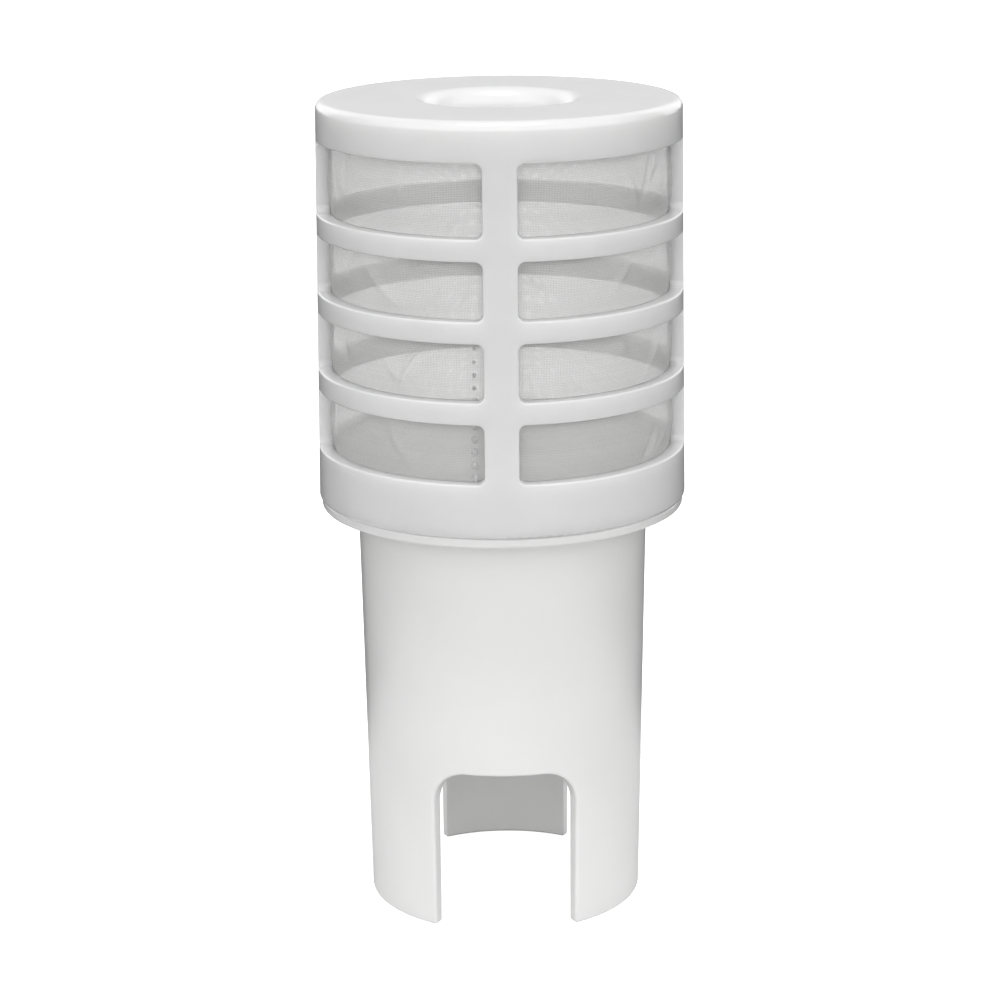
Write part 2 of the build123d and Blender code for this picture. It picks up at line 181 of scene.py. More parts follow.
class FinishSettings(bpy.types.PropertyGroup):
    """Colours of the pieces."""

    white_plastic: FloatVectorProperty(
        name="White plastic", description="Colour of the valve's own mouldings",
        default=(0.85, 0.85, 0.845), subtype="COLOR")
    natural_plastic: FloatVectorProperty(
        name="Natural plastic", description="Colour of the strainer basket",
        default=(0.88, 0.88, 0.875), subtype="COLOR")
    nylon: FloatVectorProperty(
        name="Nylon", description="Colour of the woven sleeve's threads",
        default=(0.97, 0.97, 0.965), subtype="COLOR")
    acetal: FloatVectorProperty(
        name="Acetal", description="Colour of the poppet and its bush",
        default=(0.76, 0.76, 0.74), subtype="COLOR")
    rubber: FloatVectorProperty(
        name="Rubber", description="Colour of the seals", default=(0.022, 0.022, 0.023), subtype="COLOR")
    steel: FloatVectorProperty(
        name="Steel", description="Colour of the stainless pieces",
        default=(0.62, 0.62, 0.63), subtype="COLOR")


class StudioSettings(bpy.types.PropertyGroup):
    """The camera and the light round the valve."""

    lens: FloatProperty(
        name="Lens", description="Focal length in millimetres", default=102.56)
    distance: FloatProperty(
        name="Distance", description="From the camera to the valve", default=0.3606, unit="LENGTH")
    elevation: FloatProperty(
        name="Elevation", description="How far the camera looks down",
        default=radians(15.39), subtype="ANGLE")
    roll: FloatProperty(
        name="Roll", description="Turn of the camera about its line of sight",
        default=radians(-0.515), subtype="ANGLE")
    shift: FloatProperty(
        name="Shift", description="Sideways shift of the picture", default=-0.0024)
    aim_rise: FloatProperty(
        name="Aim rise", description="Where the camera aims, above the valve's mid-height",
        default=0.24 * MM, unit="LENGTH")
    tent: FloatProperty(
        name="Tent", description="Brightness of the light tent", default=1.65, min=0.0)
    floor_glow: FloatProperty(
        name="Floor glow", description="Light that the floor shows by itself", default=0.85, min=0.0)
    table_radius: FloatProperty(
        name="Table radius", description="Radius of the pale table", default=0.14, unit="LENGTH")
    table_reach: FloatProperty(
        name="Table reach", description="From the valve to the table's middle, towards the camera",
        default=0.08, unit="LENGTH")
    table_fade: FloatProperty(
        name="Table fade", description="Softness of the table's edge as a share of its radius",
        default=0.15, min=0.0)


# ---- Shader helpers ----

def add_node(tree, kind, inputs=None, **settings):
    """Add a node, set its properties, and give each named input a value or a link."""
    made = tree.nodes.new(kind)
    for name, value in settings.items():
        setattr(made, name, value)
    for name, value in (inputs or {}).items():
        if isinstance(value, bpy.types.NodeSocket):
            tree.links.new(value, made.inputs[name])
        else:
            made.inputs[name].default_value = value
    return made


def math_node(tree, operation, first, second=0.0, third=0.0, clamp=False):
    """The output of a Math node."""
    return add_node(tree, "ShaderNodeMath", {0: first, 1: second, 2: third},
                    operation=operation, use_clamp=clamp).outputs[0]


def map_range(tree, value, low, high, to_low=0.0, to_high=1.0, smooth=False):
    """A value moved from one range to another, held inside it."""
    return add_node(
        tree, "ShaderNodeMapRange",
        {"Value": value, "From Min": low, "From Max": high, "To Min": to_low, "To Max": to_high},
        interpolation_type="SMOOTHSTEP" if smooth else "LINEAR", clamp=True).outputs["Result"]


def from_noise(tree, noise, to_low=0.0, to_high=1.0):
    """A noise texture's usual range moved to another."""
    return map_range(tree, noise, NOISE_LOW, NOISE_HIGH, to_low, to_high)


def vector_length(tree, vector):
    """The length of a vector."""
    return add_node(tree, "ShaderNodeVectorMath", {0: vector}, operation="LENGTH").outputs["Value"]


def vector_sum(tree, first, second):
    """The sum of two vectors."""
    return add_node(tree, "ShaderNodeVectorMath", {0: first, 1: second}, operation="ADD").outputs[0]


def vector_scaled(tree, vector, factor):
    """A vector or colour times a number."""
    return add_node(
        tree, "ShaderNodeVectorMath", {0: vector, "Scale": factor}, operation="SCALE").outputs[0]


def new_group(name, inputs, outputs):
    """A node group with named sockets. Gives its tree, input node and output node."""
    tree = bpy.data.node_groups.new(name, "ShaderNodeTree")
    kinds = {"value": "NodeSocketFloat", "vector": "NodeSocketVector"}
    for socket, kind in inputs:
        tree.interface.new_socket(socket, in_out="INPUT", socket_type=kinds[kind])
    for socket, kind in outputs:
        tree.interface.new_socket(socket, in_out="OUTPUT", socket_type=kinds[kind])
    return tree, tree.nodes.new("NodeGroupInput"), tree.nodes.new("NodeGroupOutput")


def use_group(tree, name, inputs):
    """A shared effect placed in a material, with its own values."""
    group = bpy.data.node_groups[name]
    made = tree.nodes.new("ShaderNodeGroup")
    made.node_tree = group
    for socket, value in inputs.items():
        if isinstance(value, bpy.types.NodeSocket):
            tree.links.new(value, made.inputs[socket])
        else:
            made.inputs[socket].default_value = value
    return made


# ---- Shared effects ----

def make_moulded_skin():
    """Slow tone clouds and a fine satin grain, as a moulded plastic skin has."""
    tree, given, out = new_group(
        "moulded_skin",
        [("Vector", "vector"), ("Grain Size", "value"), ("Cloud Size", "value")],
        [("Grain", "value"), ("Cloud", "value")])
    grain_scale = math_node(tree, "DIVIDE", 1.0, given.outputs["Grain Size"])
    cloud_scale = math_node(tree, "DIVIDE", 1.0, given.outputs["Cloud Size"])
    grain = add_node(tree, "ShaderNodeTexNoise", {
        "Vector": given.outputs["Vector"], "Scale": grain_scale, "Detail": 2.0, "Roughness": 0.6})
    cloud = add_node(tree, "ShaderNodeTexNoise", {
        "Vector": given.outputs["Vector"], "Scale": cloud_scale, "Detail": 2.0, "Roughness": 0.5})
    tree.links.new(grain.outputs[0], out.inputs["Grain"])
    tree.links.new(cloud.outputs[0], out.inputs["Cloud"])


def make_drag_lines():
    """Faint lines along the axis, left where a moulding slid out of its mould."""
    tree, given, out = new_group(
        "drag_lines",
        [("Vector", "vector"), ("Line Count", "value"), ("Line Length", "value")],
        [("Height", "value")])
    parts = add_node(tree, "ShaderNodeSeparateXYZ", {0: given.outputs["Vector"]})
    flat = add_node(tree, "ShaderNodeCombineXYZ", {0: parts.outputs[0], 1: parts.outputs[1]})
    round_way = add_node(tree, "ShaderNodeVectorMath", {0: flat.outputs[0]}, operation="NORMALIZE")
    spread = vector_scaled(tree, round_way.outputs[0], given.outputs["Line Count"])
    up = math_node(tree, "DIVIDE", parts.outputs[2], given.outputs["Line Length"])
    lift = add_node(tree, "ShaderNodeCombineXYZ", {2: up})
    lines = add_node(tree, "ShaderNodeTexNoise", {
        "Vector": vector_sum(tree, spread, lift.outputs[0]), "Scale": 1.0, "Detail": 3.0, "Roughness": 0.7})
    tree.links.new(lines.outputs[0], out.inputs["Height"])


def make_turned_rings():
    """Fine rings about the axis, as a lathe tool or a polishing wheel leaves."""
    tree, given, out = new_group(
        "turned_rings",
        [("Vector", "vector"), ("Ring Pitch", "value")],
        [("Height", "value")])
    parts = add_node(tree, "ShaderNodeSeparateXYZ", {0: given.outputs["Vector"]})
    flat = add_node(tree, "ShaderNodeCombineXYZ", {0: parts.outputs[0], 1: parts.outputs[1]})
    along = math_node(tree, "ADD", vector_length(tree, flat.outputs[0]), parts.outputs[2])
    turns = math_node(tree, "DIVIDE", along, given.outputs["Ring Pitch"])
    rings = add_node(tree, "ShaderNodeTexNoise", {
        "W": turns, "Scale": 1.0, "Detail": 4.0, "Roughness": 0.65}, noise_dimensions="1D")
    tree.links.new(rings.outputs[0], out.inputs["Height"])


def make_specks():
    """Scattered small specks and short scuffs, as handling and dust leave."""
    tree, given, out = new_group(
        "specks",
        [("Vector", "vector"), ("Speck Size", "value"), ("Amount", "value")],
        [("Mask", "value")])
    scale = math_node(tree, "DIVIDE", 1.0, given.outputs["Speck Size"])
    spots = add_node(tree, "ShaderNodeTexVoronoi", {
        "Vector": given.outputs["Vector"], "Scale": scale, "Randomness": 1.0})
    patches = add_node(tree, "ShaderNodeTexNoise", {
        "Vector": given.outputs["Vector"], "Scale": 160.0, "Detail": 4.0})
    reach = math_node(tree, "MULTIPLY", given.outputs["Amount"], patches.outputs[0])
    shape = math_node(tree, "SUBTRACT", reach, spots.outputs["Distance"])
    mask = map_range(tree, shape, 0.0, 0.06)
    tree.links.new(mask, out.inputs["Mask"])


def make_weave():
    """Plain weave on a map in metres: thread cover, thread height and a tone for each thread."""
    tree, given, out = new_group(
        "weave",
        [("Vector", "vector"), ("Pitch", "value"), ("Thread", "value")],
        [("Cover", "value"), ("Height", "value"), ("Tone", "value")])
    parts = add_node(tree, "ShaderNodeSeparateXYZ", {0: given.outputs["Vector"]})
    covers = []
    heights = []
    cells = []
    for axis in (0, 1):
        count = math_node(tree, "DIVIDE", parts.outputs[axis], given.outputs["Pitch"])
        cell = math_node(tree, "FLOOR", count)
        place = math_node(tree, "SUBTRACT", count, cell)
        from_middle = math_node(tree, "ABSOLUTE", math_node(tree, "SUBTRACT", place, 0.5))
        half = math_node(tree, "MULTIPLY", given.outputs["Thread"], 0.5)
        edge = math_node(tree, "SUBTRACT", half, from_middle)
        covers.append(map_range(tree, edge, -0.03, 0.03))
        share = math_node(tree, "DIVIDE", from_middle, half)
        square = math_node(tree, "MULTIPLY", share, share)
        heights.append(math_node(tree, "SQRT", math_node(tree, "SUBTRACT", 1.0, square, clamp=True)))
        cells.append(cell)
    parity = math_node(tree, "PINGPONG", math_node(tree, "ADD", cells[0], cells[1]), 1.0)
    half_parity = math_node(tree, "MULTIPLY", parity, 0.5)
    first = math_node(tree, "MULTIPLY", heights[0], math_node(tree, "ADD", 0.5, half_parity))
    second = math_node(tree, "MULTIPLY", heights[1], math_node(tree, "SUBTRACT", 1.0, half_parity))
    height = math_node(tree, "MAXIMUM", first, second)
    cover = math_node(tree, "MAXIMUM", covers[0], covers[1])
    tone = add_node(tree, "ShaderNodeTexWhiteNoise", {"W": cells[1]}, noise_dimensions="1D")
    tree.links.new(cover, out.inputs["Cover"])
    tree.links.new(height, out.inputs["Height"])
    tree.links.new(tone.outputs["Value"], out.inputs["Tone"])


# ---- Materials ----

def new_material(name, **shader):
    """A material with one Principled shader whose plain values are set by name."""
    material = bpy.data.materials.new(name)
    material.use_nodes = True
    tree = material.node_tree
    tree.nodes.clear()
    out = tree.nodes.new("ShaderNodeOutputMaterial")
    principled = tree.nodes.new("ShaderNodeBsdfPrincipled")
    tree.links.new(principled.outputs[0], out.inputs["Surface"])
    for socket, value in shader.items():
        principled.inputs[socket.replace("_", " ")].default_value = value
    return material, tree, principled


def object_place(tree):
    """Coordinates in metres in the valve's own frame."""
    return add_node(tree, "ShaderNodeTexCoord").outputs["Object"]


def mix_colours(tree, factor, first, second):
    """The output of a colour mix, where first and second are sockets or colours."""
    mix = tree.nodes.new("ShaderNodeMix")
    mix.data_type = "RGBA"
    for name, value in (("Factor", factor), ("A", first), ("B", second)):
        socket = next(s for s in mix.inputs if s.name == name and s.enabled)
        if isinstance(value, bpy.types.NodeSocket):
            tree.links.new(value, socket)
        else:
            socket.default_value = value
    return next(s for s in mix.outputs if s.enabled)


def shade_of(colour, share):
    """A colour as four numbers, darkened to a share of itself."""
    return (colour[0] * share, colour[1] * share, colour[2] * share, 1.0)


def add_bumps(tree, principled, layers):
    """Stack Bump nodes, each of a height socket, its depth in metres and its strength."""
    normal = None
    for height, depth, strength in layers:
        bump = add_node(tree, "ShaderNodeBump", {
            "Strength": strength, "Distance": depth, "Height": height})
        if normal is not None:
            tree.links.new(normal, bump.inputs["Normal"])
        normal = bump.outputs[0]
    tree.links.new(normal, principled.inputs["Normal"])


def make_white_plastic(colour):
    """Opaque white polypropylene with a satin mould finish."""
    material, tree, principled = new_material(
        "white_plastic", IOR=1.49, Subsurface_Weight=0.25, Subsurface_Scale=1.6 * MM,
        Subsurface_Radius=(1.0, 1.0, 0.95), Coat_Weight=0.7, Coat_Roughness=0.12)
    place = object_place(tree)
    skin = use_group(
        tree, "moulded_skin", {"Vector": place, "Grain Size": 0.22 * MM, "Cloud Size": 14 * MM})
    lines = use_group(tree, "drag_lines", {"Vector": place, "Line Count": 70.0, "Line Length": 60 * MM})
    specks = use_group(tree, "specks", {"Vector": place, "Speck Size": 1.6 * MM, "Amount": 0.09})
    cloud = from_noise(tree, skin.outputs["Cloud"])
    tone = mix_colours(tree, cloud, shade_of(colour, 0.965), shade_of(colour, 1.0))
    tone = mix_colours(tree, specks.outputs["Mask"], tone, shade_of(colour, 0.93))
    tree.links.new(tone, principled.inputs["Base Color"])
    gloss = from_noise(tree, skin.outputs["Cloud"], 0.30, 0.38)
    gloss = math_node(tree, "ADD", gloss, math_node(tree, "MULTIPLY", specks.outputs["Mask"], 0.12))
    tree.links.new(gloss, principled.inputs["Roughness"])
    add_bumps(tree, principled, [
        (skin.outputs["Grain"], 0.012 * MM, 0.5), (lines.outputs["Height"], 0.02 * MM, 0.35)])
    return material


def make_natural_plastic(colour):
    """Unpigmented polypropylene, milky and translucent, glossier than the valve's body."""
    material, tree, principled = new_material(
        "natural_plastic", IOR=1.49, Subsurface_Weight=1.0,
        Subsurface_Scale=3.5 * MM, Subsurface_Radius=(1.0, 1.0, 0.97), Coat_Weight=0.8, Coat_Roughness=0.16)
    place = object_place(tree)
    skin = use_group(tree, "moulded_skin", {"Vector": place, "Grain Size": 0.35 * MM, "Cloud Size": 9 * MM})
    lines = use_group(tree, "drag_lines", {"Vector": place, "Line Count": 50.0, "Line Length": 40 * MM})
    specks = use_group(tree, "specks", {"Vector": place, "Speck Size": 1.9 * MM, "Amount": 0.08})
    cloud = from_noise(tree, skin.outputs["Cloud"])
    tone = mix_colours(tree, cloud, shade_of(colour, 0.95), shade_of(colour, 1.0))
    tone = mix_colours(tree, specks.outputs["Mask"], tone, shade_of(colour, 0.92))
    tree.links.new(tone, principled.inputs["Base Color"])
    gloss = from_noise(tree, skin.outputs["Cloud"], 0.285, 0.33)
    gloss = math_node(tree, "ADD", gloss, math_node(tree, "MULTIPLY", specks.outputs["Mask"], 0.15))
    tree.links.new(gloss, principled.inputs["Roughness"])
    add_bumps(tree, principled, [
        (skin.outputs["Grain"], 0.008 * MM, 0.4), (lines.outputs["Height"], 0.012 * MM, 0.3)])
    return material


def make_nylon_weave(colour, sleeve):
    """Fine woven nylon, half clear, so that what lies behind it shows."""
    material, tree, principled = new_material(
        "nylon_mesh", IOR=1.53, Subsurface_Weight=0.2, Subsurface_Scale=0.3 * MM,
        Subsurface_Radius=(1.0, 1.0, 1.0))
    place = add_node(tree, "ShaderNodeUVMap", uv_map="cloth").outputs[0]
    weave = use_group(tree, "weave", {
        "Vector": place, "Pitch": sleeve.thread_pitch, "Thread": sleeve.thread_width})
    skin = use_group(tree, "moulded_skin", {
        "Vector": object_place(tree), "Grain Size": 0.5 * MM, "Cloud Size": 6 * MM})
    tone = mix_colours(tree, weave.outputs["Tone"], shade_of(colour, 0.94), shade_of(colour, 1.0))
    shadow = mix_colours(tree, weave.outputs["Height"], shade_of(colour, 0.90), tone)
    tree.links.new(shadow, principled.inputs["Base Color"])
    cover = map_range(tree, weave.outputs["Cover"], 0.0, 1.0, sleeve.hole_cover, sleeve.thread_cover)
    tree.links.new(cover, principled.inputs["Alpha"])
    tree.links.new(from_noise(tree, skin.outputs["Cloud"], 0.28, 0.42), principled.inputs["Roughness"])
    add_bumps(tree, principled, [(weave.outputs["Height"], 0.05 * MM, 0.6)])
    return material


def make_acetal(colour):
    """Smooth, slightly waxy acetal with faint turning marks."""
    material, tree, principled = new_material(
        "acetal", IOR=1.48, Subsurface_Weight=0.15, Subsurface_Scale=1.0 * MM,
        Subsurface_Radius=(1.0, 1.0, 0.9))
    place = object_place(tree)
    rings = use_group(tree, "turned_rings", {"Vector": place, "Ring Pitch": 0.18 * MM})
    skin = use_group(tree, "moulded_skin", {"Vector": place, "Grain Size": 0.2 * MM, "Cloud Size": 7 * MM})
    cloud = from_noise(tree, skin.outputs["Cloud"])
    tree.links.new(mix_colours(tree, cloud, shade_of(colour, 0.96), shade_of(colour, 1.0)),
                   principled.inputs["Base Color"])
    tree.links.new(from_noise(tree, skin.outputs["Grain"], 0.28, 0.36), principled.inputs["Roughness"])
    add_bumps(tree, principled, [(rings.outputs["Height"], 0.006 * MM, 0.4)])
    return material


def make_rubber(colour):
    """Black moulded rubber with a light bloom."""
    material, tree, principled = new_material("seal_rubber", IOR=1.52)
    place = object_place(tree)
    skin = use_group(tree, "moulded_skin", {"Vector": place, "Grain Size": 0.12 * MM, "Cloud Size": 5 * MM})
    specks = use_group(tree, "specks", {"Vector": place, "Speck Size": 0.5 * MM, "Amount": 0.3})
    bloom = map_range(tree, skin.outputs["Cloud"], 0.4, 0.7)
    tone = mix_colours(tree, bloom, shade_of(colour, 1.0), shade_of(colour, 2.2))
    tone = mix_colours(tree, specks.outputs["Mask"], tone, shade_of(colour, 4.0))
    tree.links.new(tone, principled.inputs["Base Color"])
    tree.links.new(from_noise(tree, skin.outputs["Grain"], 0.48, 0.62), principled.inputs["Roughness"])
    add_bumps(tree, principled, [(skin.outputs["Grain"], 0.01 * MM, 0.6)])
    return material


def make_steel(name, colour, ring_pitch, rough):
    """Stainless steel with fine rings about the axis."""
    material, tree, principled = new_material(name, Metallic=1.0)
    place = object_place(tree)
    rings = use_group(tree, "turned_rings", {"Vector": place, "Ring Pitch": ring_pitch})
    skin = use_group(tree, "moulded_skin", {"Vector": place, "Grain Size": 0.15 * MM, "Cloud Size": 3 * MM})
    specks = use_group(tree, "specks", {"Vector": place, "Speck Size": 0.4 * MM, "Amount": 0.2})
    cloud = from_noise(tree, skin.outputs["Cloud"])
    tone = mix_colours(tree, cloud, shade_of(colour, 0.88), shade_of(colour, 1.0))
    tone = mix_colours(tree, specks.outputs["Mask"], tone, shade_of(colour, 0.7))
    tree.links.new(tone, principled.inputs["Base Color"])
    gloss = from_noise(tree, rings.outputs["Height"], rough - 0.06, rough + 0.08)
    tree.links.new(gloss, principled.inputs["Roughness"])
    add_bumps(tree, principled, [
        (rings.outputs["Height"], 0.008 * MM, 0.5), (skin.outputs["Grain"], 0.003 * MM, 0.4)])
    return material


def make_floor(settings):
    """Pale, evenly lit studio floor, clear from below. Its bounce light comes from a round table."""
    material, tree, principled = new_material(
        "studio_floor", Roughness=0.9, Emission_Color=(1.0, 1.0, 1.0, 1.0))
    seen = add_node(tree, "ShaderNodeLightPath").outputs["Is Camera Ray"]
    glow = math_node(tree, "MULTIPLY", seen, settings.floor_glow)
    tree.links.new(glow, principled.inputs["Emission Strength"])
    below = add_node(tree, "ShaderNodeNewGeometry").outputs["Backfacing"]
    tree.links.new(math_node(tree, "SUBTRACT", 1.0, below), principled.inputs["Alpha"])
    place = object_place(tree)
    skin = use_group(tree, "moulded_skin", {"Vector": place, "Grain Size": 2 * MM, "Cloud Size": 400 * MM})
    pale = mix_colours(tree, skin.outputs["Cloud"], (0.72, 0.72, 0.72, 1.0), (0.76, 0.76, 0.76, 1.0))
    away = vector_length(tree, vector_sum(tree, place, (0.0, settings.table_reach, 0.0)))
    fade = settings.table_fade
    beyond = map_range(
        tree, away, settings.table_radius * (1 - fade), settings.table_radius * (1 + fade), smooth=True)
    bounce = mix_colours(tree, beyond, pale, (0.03, 0.03, 0.03, 1.0))
    tree.links.new(mix_colours(tree, seen, bounce, pale), principled.inputs["Base Color"])
    return material


# ---- Mesh helpers ----

def finish_piece(name, bm, material, body, smooth=True):
    """Turn a bmesh into a piece at the origin that wears its material and rides on its body."""
    bmesh.ops.recalc_face_normals(bm, faces=bm.faces)
    mesh = bpy.data.meshes.new(name)
    bm.to_mesh(mesh)
    bm.free()
    for face in mesh.polygons:
        face.use_smooth = smooth
    mesh.materials.append(material)
    piece = bpy.data.objects.new(name, mesh)
    bpy.context.scene.collection.objects.link(piece)
    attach(piece, body)
    return piece


def dress(material_name, *nodes):
    """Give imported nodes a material."""
    material = bpy.data.materials[material_name]
    for node in nodes:
        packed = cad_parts[node]
        packed.data.materials.clear()
        packed.data.materials.append(material)


# ---- Sleeve ----

# Each crease is its row from the bottom, its column, its middle across and up in mm, its slope in degrees,
# its half length and half width in mm, and its depth as a share of the greatest. Column 3 is left of the
# front rib and column 0 is right of it.
FIXED_CREASES = (
    (2, 3, 1.5, -0.3, -37, 4.4, 0.55, 1.0),
    (2, 3, -5.0, 0.6, 62, 2.0, 0.40, -0.6),
    (1, 3, 3.4, -0.6, -42, 1.4, 0.50, 0.8),
    (0, 3, 4.2, 0.3, -56, 2.5, 0.50, 0.9),
    (2, 0, -1.0, 1.0, 48, 2.4, 0.45, 1.0),
    (2, 0, 0.9, 1.6, -40, 1.6, 0.40, 0.9),
    (1, 0, -1.2, 1.8, 10, 0.9, 0.80, 1.0),
    (3, 0, 0.6, 0.2, -64, 2.2, 0.50, 0.7),
)

# Between which values the random creases lie.
CREASE_REACH = (0.25, 0.92)       # across, as a share of half a window
CREASE_RISE = (-2.6, 2.6)         # up from the window's middle, mm
CREASE_SLOPE = (28, 78)           # degrees
CREASE_HALF_LENGTH = (1.4, 4.6)   # mm
CREASE_HALF_WIDTH = (0.28, 0.75)  # mm
CREASE_DEPTH = (0.35, 1.0)        # share of the greatest


def window_rows():
    """Lower and upper edge of each row of windows, from the bottom row up."""
    low = BASKET_LOW.z + BAND_HEIGHT
    rows = [(low, low + LOW_WINDOW_HEIGHT)]
    for row in range(1, WINDOW_ROWS):
        low = rows[0][1] + RING_HEIGHT + (row - 1) * WINDOW_PITCH
        height = TOP_WINDOW_HEIGHT if row == WINDOW_ROWS - 1 else WINDOW_PITCH - RING_HEIGHT
        rows.append((low, low + height))
    return rows


def wall_inside(z):
    """Radius of the inside of the basket's wall at a height."""
    share = (z - BASKET_LOW.z) / (BASKET_HIGH.z - BASKET_LOW.z)
    return BASKET_FOOT_R - BASKET_TAPER * share - BASKET_WALL


def draw_creases(settings):
    """Fixed and random creases for each window: middle, direction, half length, half width and depth."""
    chance = random.Random(settings.seed)
    creases = {}
    half_span = (TURN / RIB_COUNT * BASKET_FOOT_R - RIB_WIDTH) / 2
    for row in range(WINDOW_ROWS):
        for column in range(RIB_COUNT):
            lines = []
            for at_row, at_column, across, up, slope, length, width, depth in FIXED_CREASES:
                if (at_row, at_column) == (row, column):
                    middle = across * MM, up * MM
                    depth *= settings.crease_depth
                    lines.append((middle, radians(slope), length * MM, width * MM, depth))
            for _ in range(settings.crease_count - 2 * len(lines)):
                side = chance.choice((-1, 1))
                across = side * half_span * chance.uniform(*CREASE_REACH)
                middle = across, chance.uniform(*CREASE_RISE) * MM
                slope = side * radians(chance.uniform(*CREASE_SLOPE))
                length = chance.uniform(*CREASE_HALF_LENGTH) * MM
                width = chance.uniform(*CREASE_HALF_WIDTH) * MM
                depth = settings.crease_depth * chance.uniform(*CREASE_DEPTH) * chance.choice((-1, 1))
                lines.append((middle, slope, length, width, depth))
            creases[row, column] = lines
    return creases


def window_at(angle, z, rows):
    """The window that a place on the wall is in, as row, column, place from its middle and half sizes."""
    step = TURN / RIB_COUNT
    column = floor((angle + pi / 2) / step) % RIB_COUNT
    middle_angle = -pi / 2 + (column + 0.5) * step
    turn = (angle - middle_angle + pi) % TURN - pi
    across = turn * BASKET_FOOT_R
    half_across = (step * BASKET_FOOT_R - RIB_WIDTH) / 2
    for row, (low, high) in enumerate(rows):
        if low < z < high and abs(across) < half_across:
            return row, column, across, z - (low + high) / 2, half_across, (high - low) / 2
    return None


def sleeve_offset(angle, z, rows, creases, bulge):
    """How far the cloth stands out from where it lies against the wall."""
    window = window_at(angle, z, rows)
    if window is None:
        return 0.0
    row, column, across, up, half_across, half_up = window
    edge_across = 1 - (abs(across) / half_across) ** 6
    edge_up = 1 - (up / half_up) ** 2
    swell = bulge * edge_across * edge_up
    for (u, v), slope, length, width, depth in creases[row, column]:
        along = (across - u) * cos(slope) + (up - v) * sin(slope)
        away = (up - v) * cos(slope) - (across - u) * sin(slope)
        swell += depth * exp(-(along / length) ** 2 - (away / width) ** 2) * edge_across * edge_up ** 0.5
    return swell


def make_sleeve(settings):
    """The woven sleeve: a tube of cloth that swells and creases in each window."""
    rows = window_rows()
    creases = draw_creases(settings)
    columns = 360
    levels = 110
    bm = bmesh.new()
    bmesh.ops.create_circle(bm, segments=columns, radius=1.0, matrix=Matrix.Translation((0, 0, MESH_LOW.z)))
    edges = list(bm.edges)
    step = (MESH_HIGH.z - MESH_LOW.z) / levels
    for _ in range(levels):
        made = bmesh.ops.extrude_edge_only(bm, edges=edges)["geom"]
        lifted = [v for v in made if isinstance(v, bmesh.types.BMVert)]
        bmesh.ops.translate(bm, verts=lifted, vec=(0, 0, step))
        edges = [e for e in made if isinstance(e, bmesh.types.BMEdge)]
    cloth = bm.loops.layers.uv.new("cloth")
    for face in bm.faces:
        turns = [atan2(loop.vert.co.y, loop.vert.co.x) for loop in face.loops]
        wraps = max(turns) - min(turns) > pi
        for loop, turn in zip(face.loops, turns):
            turn += TURN if wraps and turn < 0 else 0.0
            loop[cloth].uv = (turn * BASKET_FOOT_R, loop.vert.co.z)
    for vert in bm.verts:
        angle = atan2(vert.co.y, vert.co.x)
        lie = wall_inside(vert.co.z) - settings.wall_gap - settings.thickness / 2
        radius = lie + sleeve_offset(angle, vert.co.z, rows, creases, settings.bulge)
        vert.co.x = radius * cos(angle)
        vert.co.y = radius * sin(angle)
    return bm


class OBJECT_OT_foot_valve_sleeve(bpy.types.Operator):
    """Make the woven sleeve inside the basket"""

    bl_idname = "object.foot_valve_sleeve"
    bl_label = "Woven sleeve"

    def execute(self, context):
        settings = context.scene.foot_valve_sleeve
        bm = make_sleeve(settings)
        piece = finish_piece("mesh_sleeve", bm, bpy.data.materials["nylon_mesh"], "strainer")
        wall = piece.modifiers.new("cloth_thickness", "SOLIDIFY")
        wall.thickness = settings.thickness
        wall.offset = 0.0
        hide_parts("strainer_mesh")
        return {"FINISHED"}


# ---- Seam ----

def make_seam(sleeve, seam):
    """A row of weld beads down the sleeve, smaller towards the top."""
    rows = window_rows()
    creases = draw_creases(sleeve)
    low = MESH_LOW.z + seam.end_gap
    high = rows[seam.bead_rows - 1][1]
    angle = -pi / 2 + seam.angle
    bm = bmesh.new()
    bead_count = int((high - low) / seam.bead_pitch)
    for index in range(bead_count):
        z = low + (index + 0.5) * (high - low) / bead_count
        radius = wall_inside(z) + seam.bead_rise + sleeve_offset(angle, z, rows, creases, sleeve.bulge)
        turn = Matrix.Rotation(angle, 4, "Z") @ Matrix.Translation((radius, 0, z))
        size = 1 - seam.bead_loss * (z - low) / (high - low)
        half_length = seam.bead_half_length * seam.bead_pitch
        squash = Matrix.Diagonal((
            seam.bead_depth * size, seam.bead_width / 2 * size, half_length * size, 1.0))
        bmesh.ops.create_uvsphere(bm, u_segments=12, v_segments=8, radius=1.0, matrix=turn @ squash)
    return bm


class OBJECT_OT_foot_valve_seam(bpy.types.Operator):
    """Make the weld beads along the sleeve's seam"""

    bl_idname = "object.foot_valve_seam"
    bl_label = "Sleeve seam"

    def execute(self, context):
        bm = make_seam(context.scene.foot_valve_sleeve, context.scene.foot_valve_seam)
        finish_piece("mesh_seam", bm, bpy.data.materials["natural_plastic"], "strainer")
        return {"FINISHED"}


# ---- Spring ----

